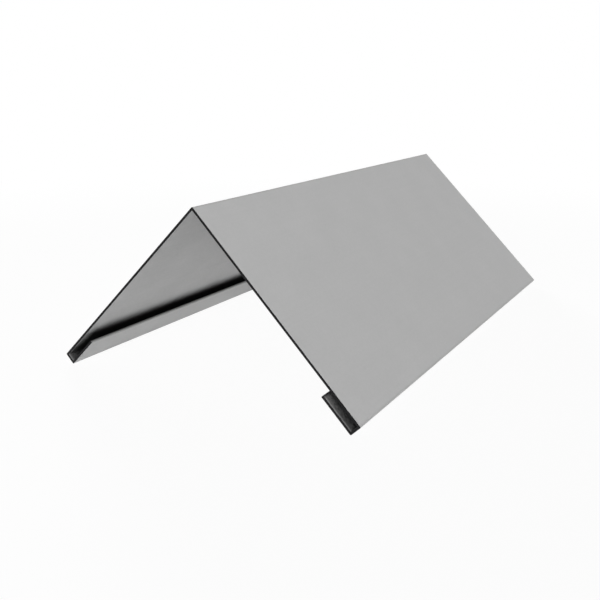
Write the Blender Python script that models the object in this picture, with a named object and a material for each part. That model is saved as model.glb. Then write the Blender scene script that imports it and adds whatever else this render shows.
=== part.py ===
# A ridge cap for a sheet-metal roof. It is one strip of coated sheet, folded five times: once along the
# ridge, and twice along each eave, where the strip turns in under the slope and comes back up beside it,
# so that each eave is a channel that hooks over the edge of a cleat.
#
# The ridge runs along Y, the slopes fall to +X and -X, and Z is up. The origin is on the ground, below the
# middle of the ridge, and the cap stands on its two lowest folds. Lengths are in metres.

import math

import bmesh
import bpy
from mathutils import Vector

# Sizes over the outer faces, each up to the sharp corners that the folds round off
SLOPE_WIDTH = 0.165
EAVE_DEPTH = 0.009
LIP_WIDTH = 0.0275
CAP_LENGTH = 0.385

SHEET_THICKNESS = 0.0016

# The folds are pressed tight. Both faces of the sheet are rounded a little round each of them.
OUTER_FOLD_RADIUS = 0.0008
INNER_FOLD_RADIUS = 0.0004

# Angles between the faces that meet at each fold
RIDGE_ANGLE = math.radians(90.0)
EAVE_ANGLE = math.radians(90.0)
LIP_ANGLE = math.radians(90.0)

# A fold is drawn with one facet for about this much of its turn
FACET_TURN = math.radians(15.0)

SHEET_COLOUR = (0.42, 0.42, 0.42, 1.0)
SHEET_ROUGHNESS = 0.55
SHEET_METALLIC = 0.2

CUT_EDGE_COLOUR = (0.035, 0.035, 0.036, 1.0)
CUT_EDGE_ROUGHNESS = 0.6
CUT_EDGE_METALLIC = 0.5


def clear_scene():
    for thing in list(bpy.data.objects):
        bpy.data.objects.remove(thing, do_unlink=True)


def plain_material(name, colour, roughness, metallic):
    material = bpy.data.materials.new(name)
    material.use_nodes = True
    shader = material.node_tree.nodes["Principled BSDF"]
    shader.inputs["Base Color"].default_value = colour
    shader.inputs["Roughness"].default_value = roughness
    shader.inputs["Metallic"].default_value = metallic
    return material


def along(heading):
    """The way the strip runs in the XZ section, as a unit vector."""
    return Vector((math.cos(heading), math.sin(heading)))


def outward(heading):
    """From the strip towards its outer face, as a unit vector."""
    return Vector((-math.sin(heading), math.cos(heading)))


def rounded(corner, heading, turn, radius, skipped):
    """Points round a corner that turns by turn, less the first angle skipped."""
    setback = radius * math.tan(turn / 2)
    centre = corner - setback * along(heading) - radius * outward(heading)
    facets = max(1, round((turn - skipped) / FACET_TURN))
    points = []
    for step in range(facets + 1):
        turned = skipped + (turn - skipped) * step / facets
        points.append(centre + radius * outward(heading - turned))
    return points


def fold(corner, heading, turn, skipped=0.0):
    """Pairs of points on the outer and inner faces, round a fold with its sharp outer corner here."""
    both_outward = outward(heading) + outward(heading - turn)
    inner_corner = corner - SHEET_THICKNESS * both_outward / (1 + math.cos(turn))
    outer = rounded(corner, heading, turn, OUTER_FOLD_RADIUS, skipped)
    inner = rounded(inner_corner, heading, turn, INNER_FOLD_RADIUS, skipped)
    return list(zip(outer, inner))


def half_section():
    """The strip in the XZ plane, from the ridge to the free edge of the +X lip, as pairs of points on its
    outer and inner faces."""
    ridge_turn = math.pi - RIDGE_ANGLE
    eave_turn = math.pi - EAVE_ANGLE
    lip_turn = math.pi - LIP_ANGLE

    ridge = Vector((0.0, 0.0))
    slope_heading = -ridge_turn / 2
    eave = ridge + SLOPE_WIDTH * along(slope_heading)
    under_heading = slope_heading - eave_turn
    under = eave + EAVE_DEPTH * along(under_heading)
    lip_heading = under_heading - lip_turn
    free_edge = under + LIP_WIDTH * along(lip_heading)

    pairs = fold(ridge, ridge_turn / 2, ridge_turn, skipped=ridge_turn / 2)
    pairs += fold(eave, slope_heading, eave_turn)
    pairs += fold(under, under_heading, lip_turn)
    pairs.append((free_edge, free_edge - SHEET_THICKNESS * outward(lip_heading)))

    ground = min(outer.y for outer, inner in pairs)
    return [[Vector((point.x, point.y - ground)) for point in pair] for pair in pairs]


def whole_section():
    """The strip from the free edge of the -X lip to the free edge of the +X lip."""
    right_half = half_section()
    left_half = [[Vector((-point.x, point.y)) for point in pair] for pair in reversed(right_half[1:])]
    return left_half + right_half


def folded_strip():
    """The strip's near end as a row of faces, pulled along Y to the cap's length."""
    strip = bmesh.new()
    rows = []
    for pair in whole_section():
        rows.append([strip.verts.new((point.x, -CAP_LENGTH / 2, point.y)) for point in pair])
    near_end = [strip.faces.new((this[0], after[0], after[1], this[1])) for this, after in zip(rows, rows[1:])]
    pulled = bmesh.ops.extrude_face_region(strip, geom=near_end)["geom"]
    far_end = [item for item in pulled if isinstance(item, bmesh.types.BMVert)]
    bmesh.ops.translate(strip, verts=far_end, vec=(0.0, CAP_LENGTH, 0.0))
    bmesh.ops.recalc_face_normals(strip, faces=strip.faces)

    # The two ends are cut after coating. The folds are shaded round, and the strip's own edges stay sharp.
    strip.normal_update()
    for face in strip.faces:
        face.material_index = 1 if abs(face.normal.y) > 0.5 else 0
        face.smooth = True
    for edge in strip.edges:
        edge.smooth = edge.calc_face_angle() < 2 * FACET_TURN

    mesh = bpy.data.meshes.new("ridge_cap")
    strip.to_mesh(mesh)
    strip.free()
    return mesh


def add_ridge_cap(collection):
    cap = bpy.data.objects.new("ridge_cap", folded_strip())
    collection.objects.link(cap)
    cap.data.materials.append(
        plain_material("grey_coated_sheet", SHEET_COLOUR, SHEET_ROUGHNESS, SHEET_METALLIC))
    cap.data.materials.append(
        plain_material("dark_cut_edge", CUT_EDGE_COLOUR, CUT_EDGE_ROUGHNESS, CUT_EDGE_METALLIC))
    return cap


def main():
    clear_scene()
    collection = bpy.data.collections.new("folded_ridge_cap")
    bpy.context.scene.collection.children.link(collection)
    add_ridge_cap(collection)


main()
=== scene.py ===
# Looks of the folded ridge cap: a grey coated sheet with dark cut edges, on a pale floor in soft light.
# Lengths are in metres.

import math

import bmesh
import bpy
from mathutils import Matrix, Vector


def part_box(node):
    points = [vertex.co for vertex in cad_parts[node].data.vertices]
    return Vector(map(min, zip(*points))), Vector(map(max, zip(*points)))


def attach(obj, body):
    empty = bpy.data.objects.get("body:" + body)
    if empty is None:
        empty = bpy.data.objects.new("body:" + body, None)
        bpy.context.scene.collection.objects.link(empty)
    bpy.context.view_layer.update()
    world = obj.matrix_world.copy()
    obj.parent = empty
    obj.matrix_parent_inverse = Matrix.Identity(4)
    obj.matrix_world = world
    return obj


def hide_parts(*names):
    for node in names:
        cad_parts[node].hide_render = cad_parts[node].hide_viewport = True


print("Loading the packed frame")
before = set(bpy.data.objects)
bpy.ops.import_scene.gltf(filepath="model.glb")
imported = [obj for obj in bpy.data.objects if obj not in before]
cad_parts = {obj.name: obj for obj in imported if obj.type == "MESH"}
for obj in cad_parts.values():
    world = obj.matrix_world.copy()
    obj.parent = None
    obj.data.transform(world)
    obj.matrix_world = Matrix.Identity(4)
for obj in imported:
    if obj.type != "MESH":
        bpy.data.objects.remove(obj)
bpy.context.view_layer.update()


# Camera, at the place and angle the photo was taken from
photoView = {
    "place": (0.29436, -0.56793, 0.20163),
    "turnFromRidge": math.radians(31.09),
    "lookDown": math.radians(13.07),
    "roll": math.radians(0.09),
    "lens": 47.31,
    "sensor": 36.0,
    "shiftX": 0.0208,
    "shiftY": -0.0724,
    "clipStart": 0.01,
}


def addCamera():
    lens = bpy.data.cameras.new("photoCamera")
    lens.lens = photoView["lens"]
    lens.sensor_width = photoView["sensor"]
    lens.shift_x = photoView["shiftX"]
    lens.shift_y = photoView["shiftY"]
    lens.clip_start = photoView["clipStart"]
    camera = bpy.data.objects.new("photoCamera", lens)
    bpy.context.scene.collection.objects.link(camera)
    turn = Matrix.Rotation(photoView["turnFromRidge"], 4, "Z")
    tilt = Matrix.Rotation(math.pi / 2 - photoView["lookDown"], 4, "X")
    roll = Matrix.Rotation(photoView["roll"], 4, "Z")
    camera.matrix_world = Matrix.Translation(photoView["place"]) @ turn @ tilt @ roll
    bpy.context.scene.camera = camera


print("Placing the camera")
addCamera()


# Small helpers for the node trees
def addNode(tree, kind, sockets=None, **settings):
    made = tree.nodes.new(kind)
    for name, value in settings.items():
        setattr(made, name, value)
    for name, value in (sockets or {}).items():
        if isinstance(value, bpy.types.NodeSocket):
            tree.links.new(value, made.inputs[name])
        else:
            made.inputs[name].default_value = value
    return made


def math2(tree, operation, first, second=0.0):
    return addNode(tree, "ShaderNodeMath", {0: first, 1: second}, operation=operation).outputs[0]


def vectorMath(tree, operation, *vectors):
    return addNode(tree, "ShaderNodeVectorMath", dict(enumerate(vectors)), operation=operation).outputs


def splitAxes(tree, vector):
    return addNode(tree, "ShaderNodeSeparateXYZ", {0: vector}).outputs


def remap(tree, value, fromMin, fromMax, toMin, toMax, curve="SMOOTHSTEP"):
    sockets = {"Value": value, "From Min": fromMin, "From Max": fromMax, "To Min": toMin, "To Max": toMax}
    return addNode(tree, "ShaderNodeMapRange", sockets, interpolation_type=curve).outputs["Result"]


# Sockets 0, 6 and 7 of a Mix node are its factor and its two colours, and output 2 is the colour it gives
def mixColours(tree, factor, first, second, blend="MIX"):
    return addNode(tree, "ShaderNodeMix", {0: factor, 6: first, 7: second},
                   data_type="RGBA", blend_type=blend).outputs[2]


def noise(tree, place, scale, detail):
    sockets = {"Vector": place, "Scale": scale, "Detail": detail}
    return addNode(tree, "ShaderNodeTexNoise", sockets).outputs["Fac"]


# The noise scale that gives lumps of this size
def scaleFor(tree, size):
    return math2(tree, "DIVIDE", 1.0, size)


# How far a noise value lies from its middle, times reach
def swing(tree, value, reach):
    return math2(tree, "MULTIPLY", math2(tree, "SUBTRACT", value, 0.5), reach)


def blendNoise(tree, first, second, secondShare):
    return math2(tree, "ADD", math2(tree, "MULTIPLY", second, secondShare),
                 math2(tree, "MULTIPLY", first, 1.0 - secondShare))


# Rays that meet the white background: the camera's own, and those by which metal mirrors it
def whiteSeen(tree):
    rays = addNode(tree, "ShaderNodeLightPath").outputs
    mirrored = math2(tree, "MAXIMUM", rays["Is Glossy Ray"], rays["Is Transmission Ray"])
    return math2(tree, "MAXIMUM", rays["Is Camera Ray"], mirrored)


def newGroup(name, inputs, outputs):
    group = bpy.data.node_groups.new(name, "ShaderNodeTree")
    for label, start in inputs.items():
        kind = "NodeSocketVector" if start is None else "NodeSocketFloat"
        socket = group.interface.new_socket(label, in_out="INPUT", socket_type=kind)
        if start is not None:
            socket.default_value = start
    for label in outputs:
        group.interface.new_socket(label, in_out="OUTPUT", socket_type="NodeSocketFloat")
    return group, group.nodes.new("NodeGroupInput").outputs, group.nodes.new("NodeGroupOutput").inputs


# What is the same wherever a shared effect is used
effects = {
    "lineSquash": 0.015,  # squashed along Y, the noise gives long rolling lines
    "lineShare": 0.3,  # of the lines, against the soft patches
    "grainShare": 0.4,  # of the grain, against lines and patches together
    "chipsPerMetre": 900.0,
    "chipSoftness": 0.2,  # share of the chipped band's width over which it ends
    "shadeWobblePerMetre": 90.0,
    "shadeWobbleStray": 0.006,  # noise moves where the painted slot shade starts by up to half of this either way
    "streakRange": (0.3, 0.7),  # noise values of a dark and of a light streak
}


# Fine grain of a matte coating, with broad soft patches, and faint lines along Y, the way the sheet was
# rolled
def makeCoatGrain():
    group, given, result = newGroup(
        "coatGrain",
        {"Place": None, "Grain Size": 0.0006, "Patch Size": 0.05, "Line Width": 0.002, "Shade Change": 0.02,
         "Roughness": 0.5, "Roughness Change": 0.05},
        ["Shade", "Roughness", "Height"])
    grain = noise(group, given["Place"], scaleFor(group, given["Grain Size"]), 3.0)
    patch = noise(group, given["Place"], scaleFor(group, given["Patch Size"]), 4.0)
    squashed = vectorMath(group, "MULTIPLY", given["Place"], (1.0, effects["lineSquash"], 1.0))["Vector"]
    lines = noise(group, squashed, scaleFor(group, given["Line Width"]), 2.0)
    soft = blendNoise(group, patch, lines, effects["lineShare"])
    both = blendNoise(group, soft, grain, effects["grainShare"])
    shade = math2(group, "ADD", swing(group, both, given["Shade Change"]), 1.0)
    roughness = math2(group, "ADD", swing(group, soft, given["Roughness Change"]), given["Roughness"])
    group.links.new(shade, result["Shade"])
    group.links.new(roughness, result["Roughness"])
    group.links.new(grain, result["Height"])
    return group


# How near a point is to a line along Y, such as a fold, on both sides of the ridge
def makeNearFold():
    group, given, result = newGroup("nearFold", {"Place": None, "Fold": None, "Reach": 0.003}, ["Mask"])
    mirrored = vectorMath(group, "ABSOLUTE", given["Place"])["Vector"]
    away = vectorMath(group, "SUBTRACT", mirrored, given["Fold"])["Vector"]
    across = vectorMath(group, "MULTIPLY", away, (1.0, 0.0, 1.0))["Vector"]
    distance = vectorMath(group, "LENGTH", across)["Value"]
    group.links.new(remap(group, distance, 0.0, given["Reach"], 1.0, 0.0), result["Mask"])
    return group


# Coat chipped off along the two sheared ends, in a narrow band of uneven width
def makeChippedEnd():
    group, given, result = newGroup(
        "chippedEnd", {"Place": None, "Half Length": 0.19, "Width": 0.0002, "Unevenness": 0.5}, ["Mask"])
    alongY = splitAxes(group, given["Place"])["Y"]
    fromEnd = math2(group, "SUBTRACT", given["Half Length"], math2(group, "ABSOLUTE", alongY))
    chips = noise(group, given["Place"], effects["chipsPerMetre"], 2.0)
    uneven = math2(group, "MULTIPLY", swing(group, chips, given["Unevenness"]), 2.0)
    reach = math2(group, "MULTIPLY", given["Width"], math2(group, "ADD", uneven, 1.0))
    start = math2(group, "MULTIPLY", reach, 1.0 - effects["chipSoftness"])
    end = math2(group, "MULTIPLY", reach, 1.0 + effects["chipSoftness"])
    group.links.new(remap(group, fromEnd, start, end, 1.0, 0.0), result["Mask"])
    return group


# Painted shade deep in the eave channels, fading at their open ends, where light reaches in
def makeSlotShade():
    group, given, result = newGroup(
        "slotShade",
        {"Place": None, "From": 0.054, "To": 0.08, "Deepest": 0.1, "Half Length": 0.19, "End Fade": 0.01,
         "Left At End": 0.7, "Left In Fold": 0.9, "Lit Width": 0.002, "Lit At End": 0.45,
         "Mottle Size": 0.0025, "Mottle Reach": 0.02},
        ["Mask"])
    parts = splitAxes(group, vectorMath(group, "ABSOLUTE", given["Place"])["Vector"])
    wobble = noise(group, given["Place"], effects["shadeWobblePerMetre"], 3.0)
    stray = swing(group, wobble, effects["shadeWobbleStray"])
    # along the slope's fall, X less Z grows towards the eave
    down = math2(group, "ADD", math2(group, "SUBTRACT", parts["X"], parts["Z"]), stray)
    deep = remap(group, down, given["From"], given["To"], 0.0, 1.0)
    mottle = noise(group, given["Place"], scaleFor(group, given["Mottle Size"]), 2.0)
    uneven = swing(group, mottle, given["Mottle Reach"])
    fromEnd = math2(group, "SUBTRACT", given["Half Length"], parts["Y"])
    left = remap(group, down, given["To"], given["Deepest"], given["Left At End"], given["Left In Fold"],
                 "LINEAR")
    inward = remap(group, math2(group, "ADD", fromEnd, uneven), 0.0, given["End Fade"], left, 1.0)
    shadeAtOpenEnd = math2(group, "SUBTRACT", 1.0, given["Lit At End"])
    kept = remap(group, fromEnd, 0.0, given["Lit Width"], shadeAtOpenEnd, 1.0, "LINEAR")
    group.links.new(math2(group, "MULTIPLY", deep, math2(group, "MULTIPLY", inward, kept)), result["Mask"])
    return group


# Streaks that a shear leaves across the thickness of a cut edge
def makeShearStreaks():
    group, given, result = newGroup(
        "shearStreaks", {"Place": None, "Streak Width": 0.0004, "Depth": 0.5}, ["Shade", "Height"])
    streak = noise(group, given["Place"], scaleFor(group, given["Streak Width"]), 2.0)
    darkest = math2(group, "SUBTRACT", 1.0, given["Depth"])
    group.links.new(remap(group, streak, *effects["streakRange"], darkest, 1.0), result["Shade"])
    group.links.new(streak, result["Height"])
    return group


print("Making the shared surface effects")
coatGrain = makeCoatGrain()
nearFold = makeNearFold()
chippedEnd = makeChippedEnd()
slotShade = makeSlotShade()
shearStreaks = makeShearStreaks()


# The folded sheet. What isn't here comes from the CAD node's box: slopes at 45 degrees, and the eave turns
# and lips at right angles to them.
sheetMetal = {
    "node": "ridge_cap",
    "thickness": 0.0016,
    "outerFoldRadius": 0.0008,
    "innerFoldRadius": 0.0004,
    "lipWidth": 0.0275,
    "foldSegments": 8,
    "arris": 0.00006,  # the shear leaves the cut edges a little round
    "arrisSegments": 3,
    "arrisAngle": math.radians(60),
    "cutFacing": 0.3,  # a face that points this much along Y belongs to a cut end
    "mergeDistance": 0.00001,
}


# Sharp corners of the outer face on the +X side at the near end: ridge, eave, under the eave, free edge
def sharpCorners():
    low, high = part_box(sheetMetal["node"])
    cornerCut = sheetMetal["outerFoldRadius"] * (math.sqrt(2) - 1)  # from a sharp corner to the round fold
    ridge = Vector((0.0, low.y, high.z + cornerCut))
    eaveReach = high.x + cornerCut
    eave = Vector((eaveReach, low.y, ridge.z - eaveReach))
    turnFall = eave.z - (low.z - cornerCut)
    under = eave - Vector((turnFall, 0.0, turnFall))
    lipRise = sheetMetal["lipWidth"] * math.sqrt(0.5)
    freeEdge = under + Vector((-lipRise, 0.0, lipRise))
    return [ridge, eave, under, freeEdge]


# The sharp-cornered sheet: a few edges pulled along the ridge, mirrored, and thickened inwards
def sharpSheet(corners):
    low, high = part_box(sheetMetal["node"])
    sheet = bmesh.new()
    row = [sheet.verts.new(corner) for corner in corners]
    strip = [sheet.edges.new(pair) for pair in zip(row, row[1:])]
    pulled = bmesh.ops.extrude_edge_only(sheet, edges=strip)["geom"]
    farRow = [item for item in pulled if isinstance(item, bmesh.types.BMVert)]
    bmesh.ops.translate(sheet, verts=farRow, vec=(0.0, high.y - low.y, 0.0))
    bmesh.ops.mirror(sheet, geom=sheet.verts[:] + sheet.edges[:] + sheet.faces[:], axis="X",
                     merge_dist=sheetMetal["mergeDistance"])
    bmesh.ops.recalc_face_normals(sheet, faces=sheet.faces)
    outside = set(sheet.faces)
    grown = bmesh.ops.solidify(sheet, geom=sheet.faces[:], thickness=sheetMetal["thickness"])["geom"]
    inside = {item for item in grown if isinstance(item, bmesh.types.BMFace)}
    return sheet, outside, inside


def foldSheet(corners):
    sheet, outside, inside = sharpSheet(corners)
    for face in inside:
        face.material_index = 1

    # One flat face on each cut end, so that the folds round off cleanly there
    mitres = [edge for edge in sheet.edges
              if not any(face in outside or face in inside for face in edge.link_faces)
              and edge.calc_face_angle() < sheetMetal["arrisAngle"]]
    bmesh.ops.dissolve_edges(sheet, edges=mitres)
    for shell, radius in ((outside, "outerFoldRadius"), (inside, "innerFoldRadius")):
        folds = [edge for edge in sheet.edges if all(face in shell for face in edge.link_faces)]
        bmesh.ops.bevel(sheet, geom=folds, affect="EDGES", offset_type="OFFSET", offset=sheetMetal[radius],
                        segments=sheetMetal["foldSegments"], profile=0.5, material=-1)

    arrises = [edge for edge in sheet.edges if edge.calc_face_angle() > sheetMetal["arrisAngle"]]
    bmesh.ops.bevel(sheet, geom=arrises, affect="EDGES", offset_type="OFFSET", offset=sheetMetal["arris"],
                    segments=sheetMetal["arrisSegments"], profile=0.5, material=-1)
    for face in sheet.faces:
        face.smooth = True
        if abs(face.normal.y) > sheetMetal["cutFacing"]:
            face.material_index = 2
    return sheet


# An object made from a finished bmesh
def addMesh(name, shape, materials):
    mesh = bpy.data.meshes.new(name)
    shape.to_mesh(mesh)
    shape.free()
    for material in materials:
        mesh.materials.append(material)
    made = bpy.data.objects.new(name, mesh)
    bpy.context.scene.collection.objects.link(made)
    return made


# Its materials are, in this order, those of the outer faces, the inner faces and the cut ends
def addSheet(corners, materials):
    piece = addMesh("foldedSheet", foldSheet(corners), materials)
    # The wide faces keep their own normals, and only the folds and arrises shade round
    flatten = piece.modifiers.new("flatFacesFirst", "WEIGHTED_NORMAL")
    flatten.mode = "FACE_AREA"
    flatten.keep_sharp = True
    return piece


# Finish of the coated faces, with painted shade in the channels, under the ridge and on the lips' free
# edges.
# A shade is the share of the coat's brightness that is left.
coating = {
    "colour": (0.42, 0.42, 0.42, 1.0),
    "specular": 0.2,
    "roughness": 0.55,
    "roughnessChange": 0.12,
    "outerShadeChange": 0.22,
    "innerShadeChange": 0.5,  # the inside is left rougher and is marked by handling
    "grainSize": 0.0016,
    "patchSize": 0.03,
    "lineWidth": 0.0025,
    "grainHeight": 0.00002,
    "bumpStrength": 0.25,
    "foldReach": 0.002,
    "foldShade": 0.86,  # the coat is rubbed a little dull along the folds
    "chipWidth": 0.0002,
    "chipUnevenness": 0.4,
    "chipColour": (0.02, 0.02, 0.021, 1.0),
    # painted shade deep in the eave channels: the share of the coat's brightness it leaves, and how it fades
    # towards the open ends
    "slotShadeLevel": 0.02,
    "slotShadeEndFade": 0.01,
    "slotShadeLitWidth": 0.002,
    "slotShadeLitAtEnd": 0.45,
    "slotShadeMottleSize": 0.0015,
    "slotShadeMottleReach": 0.012,
    # Painted shade in the channels. From the channel's mouth to its fold, lengths are taken on X less Z,
    # 1.41 times the length along the sheet. At the open ends more painted shade is left on the lip, which
    # faces up, than on the slope above it. Each has how far before the mouth the painted shade starts, how
    # far past the mouth it is full, and the share of it that is left there at the ends.
    "slotShadeOnSlope": {"before": 0.018, "after": 0.008, "leftAtEnd": 0.3},
    "slotShadeOnLip": {"before": 0.02, "after": 0.0, "leftAtEnd": 0.71},
    "slotShadeDeepest": 0.026,  # past the mouth, where the fold's share of painted shade is left at the ends
    "slotShadeLeftInFold": 0.88,
    "lipBelow": (0.003, 0.005),  # the drop in X plus Z from the slope over which the lip's painted shade takes over
    "ridgeShadeReach": 0.07,  # painted shade inside, in the corner under the ridge
    "ridgeShadeLevel": 0.87,
    "mouthShadeReach": 0.0026,
    "mouthShadeLevel": 0.13,  # painted shade on the lips' free edges, at the channels' mouths
}


def newMaterial(name):
    material = bpy.data.materials.new(name)
    material.use_nodes = True
    place = addNode(material.node_tree, "ShaderNodeTexCoord").outputs["Object"]
    return material, material.node_tree, place


# A shared effect, placed in a material with its own values
def addEffect(tree, effect, values):
    return addNode(tree, "ShaderNodeGroup", values, node_tree=effect).outputs


def addBump(tree, height, strength, distance):
    bump = addNode(tree, "ShaderNodeBump", {"Height": height, "Strength": strength, "Distance": distance})
    tree.links.new(bump.outputs["Normal"], tree.nodes["Principled BSDF"].inputs["Normal"])


# Mask of what lies near the line along Y through this point of the section
def nearLine(tree, place, x, z, reach):
    return addEffect(tree, nearFold, {"Place": place, "Fold": (x, 0.0, z), "Reach": reach})["Mask"]


# Full brightness where the mask is 0, and this shade where it is 1
def shadeBy(tree, mask, shade):
    return remap(tree, mask, 0.0, 1.0, 1.0, shade, "LINEAR")


def coatingBase(name, corners, shadeChange):
    material, tree, place = newMaterial(name)
    grain = addEffect(tree, coatGrain, {
        "Place": place, "Grain Size": coating["grainSize"], "Patch Size": coating["patchSize"],
        "Line Width": coating["lineWidth"], "Shade Change": shadeChange,
        "Roughness": coating["roughness"], "Roughness Change": coating["roughnessChange"]})
    *folds, freeEdge = corners
    fold = 0.0
    for corner in folds:
        fold = math2(tree, "MAXIMUM", nearLine(tree, place, corner.x, corner.z, coating["foldReach"]), fold)
    # painted shade on the lips' free edges, at the channels' mouths, multiplied with the dulled folds
    slant = sheetMetal["thickness"] * math.sqrt(0.5)
    mouthShadeMask = nearLine(tree, place, freeEdge.x + slant, freeEdge.z + slant, coating["mouthShadeReach"])
    wearAndMouthShade = math2(tree, "MULTIPLY", shadeBy(tree, fold, coating["foldShade"]),
                 shadeBy(tree, mouthShadeMask, coating["mouthShadeLevel"]))
    shader = tree.nodes["Principled BSDF"].inputs
    shader["Specular IOR Level"].default_value = coating["specular"]
    tree.links.new(grain["Roughness"], shader["Roughness"])
    addBump(tree, grain["Height"], coating["bumpStrength"], coating["grainHeight"])
    return material, tree, place, math2(tree, "MULTIPLY", grain["Shade"], wearAndMouthShade)


# The coat's colour in this shade, with the chipped band along the sheared ends
def colourCoat(tree, place, shade):
    tinted = mixColours(tree, 1.0, coating["colour"], shade, "MULTIPLY")
    chips = addEffect(tree, chippedEnd, {
        "Place": place, "Half Length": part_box(sheetMetal["node"])[1].y,
        "Width": coating["chipWidth"], "Unevenness": coating["chipUnevenness"]})["Mask"]
    chipped = mixColours(tree, chips, tinted, coating["chipColour"])
    tree.links.new(chipped, tree.nodes["Principled BSDF"].inputs["Base Color"])


def outerCoating(corners):
    material, tree, place, shade = coatingBase("greyCoatingOuter", corners, coating["outerShadeChange"])
    colourCoat(tree, place, shade)
    return material


# How much painted shade lies on one face of the channel
def channelShadeMask(tree, place, mouth, face):
    return addEffect(tree, slotShade, {
        "Place": place, "Half Length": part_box(sheetMetal["node"])[1].y,
        "From": mouth - face["before"], "To": mouth + face["after"],
        "Deepest": mouth + coating["slotShadeDeepest"], "Left At End": face["leftAtEnd"],
        "Left In Fold": coating["slotShadeLeftInFold"], "End Fade": coating["slotShadeEndFade"],
        "Lit Width": coating["slotShadeLitWidth"], "Lit At End": coating["slotShadeLitAtEnd"],
        "Mottle Size": coating["slotShadeMottleSize"], "Mottle Reach": coating["slotShadeMottleReach"]})["Mask"]


def innerCoating(corners):
    material, tree, place, shade = coatingBase("greyCoatingInner", corners, coating["innerShadeChange"])
    ridge, freeEdge = corners[0], corners[-1]
    mouth = freeEdge.x - freeEdge.z
    # painted shade deep in the channels, one mask for the slope and one for the lip
    onSlope = channelShadeMask(tree, place, mouth, coating["slotShadeOnSlope"])
    onLip = channelShadeMask(tree, place, mouth, coating["slotShadeOnLip"])
    # X plus Z is the same all over the slope's inner face, and less on the lip below it
    parts = splitAxes(tree, vectorMath(tree, "ABSOLUTE", place)["Vector"])
    slopeInside = ridge.z - sheetMetal["thickness"] * math.sqrt(2)
    below = math2(tree, "SUBTRACT", slopeInside, math2(tree, "ADD", parts["X"], parts["Z"]))
    lipShare = remap(tree, below, *coating["lipBelow"], 0.0, 1.0)
    paintedSlotShade = remap(tree, lipShare, 0.0, 1.0, onSlope, onLip, "LINEAR")
    # painted shade inside, in the corner under the ridge
    ridgeShadeMask = nearLine(tree, place, 0.0, slopeInside, coating["ridgeShadeReach"])
    dark = math2(tree, "MULTIPLY", shade, shadeBy(tree, paintedSlotShade, coating["slotShadeLevel"]))
    colourCoat(tree, place, math2(tree, "MULTIPLY", dark, shadeBy(tree, ridgeShadeMask, coating["ridgeShadeLevel"])))
    return material


# Finish of the cut edges: bare metal, made near-black in part as painted shade on the ends
cutEdge = {
    "colour": (0.02, 0.02, 0.021, 1.0),
    "roughness": 0.5,
    "metallic": 0.9,
    "streakWidth": 0.0003,
    "streakDepth": 0.35,
    "streakHeight": 0.00001,
    "bumpStrength": 0.3,
}


def darkCutEdge():
    material, tree, place = newMaterial("darkCutEdge")
    streaks = addEffect(tree, shearStreaks, {
        "Place": place, "Streak Width": cutEdge["streakWidth"], "Depth": cutEdge["streakDepth"]})
    tinted = mixColours(tree, 1.0, cutEdge["colour"], streaks["Shade"], "MULTIPLY")
    shader = tree.nodes["Principled BSDF"].inputs
    shader["Roughness"].default_value = cutEdge["roughness"]
    shader["Metallic"].default_value = cutEdge["metallic"]
    tree.links.new(tinted, shader["Base Color"])
    addBump(tree, streaks["Height"], cutEdge["bumpStrength"], cutEdge["streakHeight"])
    return material


print("Folding the sheet")
corners = sharpCorners()
foldedSheet = addSheet(corners, [outerCoating(corners), innerCoating(corners), darkCutEdge()])
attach(foldedSheet, "root")
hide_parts(sheetMetal["node"])


# Floor: pale, and close to white where the camera sees it, with the cap's own shadow left in
floorLook = {
    "size": 12.0,
    "colour": (0.95, 0.95, 0.95, 1.0),
    "roughness": 0.9,
    "white": 1.0,
    "whiteShareNear": 0.93,
    "fadeFrom": 0.38,
    "fadeTo": 1.0,
}


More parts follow.
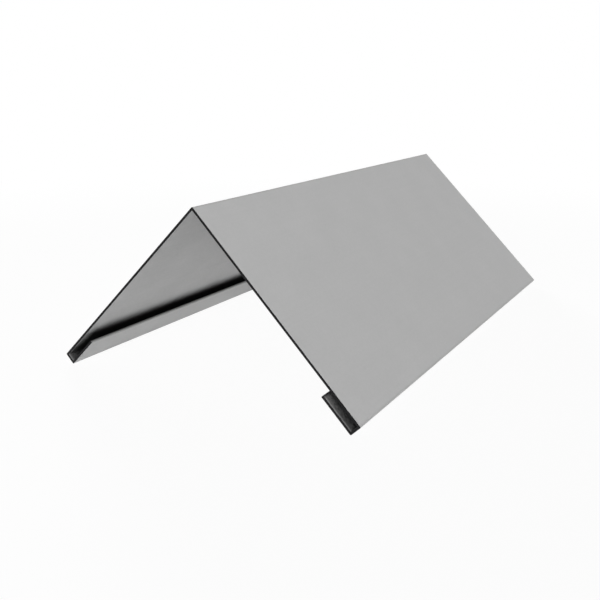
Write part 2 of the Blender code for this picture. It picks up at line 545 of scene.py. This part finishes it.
def paleFloor():
    material, tree, place = newMaterial("paleFloor")
    shader = tree.nodes["Principled BSDF"]
    shader.inputs["Base Color"].default_value = floorLook["colour"]
    shader.inputs["Roughness"].default_value = floorLook["roughness"]
    shader.inputs["Specular IOR Level"].default_value = 0.0
    distance = vectorMath(tree, "LENGTH", place)["Value"]
    share = remap(tree, distance, floorLook["fadeFrom"], floorLook["fadeTo"],
                  floorLook["whiteShareNear"], 1.0)
    white = addNode(tree, "ShaderNodeEmission", {"Strength": floorLook["white"]})
    mixed = addNode(tree, "ShaderNodeMixShader", {0: math2(tree, "MULTIPLY", whiteSeen(tree), share),
                                                  1: shader.outputs[0], 2: white.outputs[0]})
    tree.links.new(mixed.outputs[0], tree.nodes["Material Output"].inputs["Surface"])
    return material


def addFloor():
    shape = bmesh.new()
    bmesh.ops.create_grid(shape, x_segments=1, y_segments=1, size=floorLook["size"] / 2)
    addMesh("paleFloor", shape, [paleFloor()])


# Sky all round, white where it is seen
skyLook = {"colour": (1.0, 1.0, 1.0, 1.0), "light": 0.12, "seenWhite": 1.0}


def addSky():
    world = bpy.data.worlds.new("softSky")
    bpy.context.scene.world = world
    world.use_nodes = True
    tree = world.node_tree
    strength = remap(tree, whiteSeen(tree), 0.0, 1.0, skyLook["light"], skyLook["seenWhite"], "LINEAR")
    background = tree.nodes["Background"].inputs
    background["Color"].default_value = skyLook["colour"]
    tree.links.new(strength, background["Strength"])


# Lamps: two big soft boxes, a key at the front right and one opposite it for the sides that the photo hides
lamps = {
    "aim": (0.0, 0.0, 0.05),
    "distance": 8.0,
    "boxes": {  # turn is the angle round from -Y towards +X, and power is in watts
        "key": {"turn": math.radians(19), "elevation": math.radians(10), "size": 4.2, "power": 1610.0},
        "opposite": {"turn": math.radians(225), "elevation": math.radians(10), "size": 2.6, "power": 850.0},
    },
}


def addLamps():
    for name, box in lamps["boxes"].items():
        light = bpy.data.lights.new(name, "AREA")
        light.shape = "SQUARE"
        light.size = box["size"]
        light.energy = box["power"]
        level = lamps["distance"] * math.cos(box["elevation"])
        place = Vector((level * math.sin(box["turn"]), -level * math.cos(box["turn"]),
                        lamps["distance"] * math.sin(box["elevation"])))
        holder = bpy.data.objects.new(name, light)
        bpy.context.scene.collection.objects.link(holder)
        holder.visible_camera = False
        holder.visible_glossy = False  # the sheet mirrors the white background, and not the boxes
        towards = (Vector(lamps["aim"]) - place).to_track_quat("-Z", "Y").to_matrix().to_4x4()
        holder.matrix_world = Matrix.Translation(place) @ towards


print("Laying the floor and setting the lamps")
addFloor()
addSky()
addLamps()
bpy.context.scene.view_settings.view_transform = "Standard"
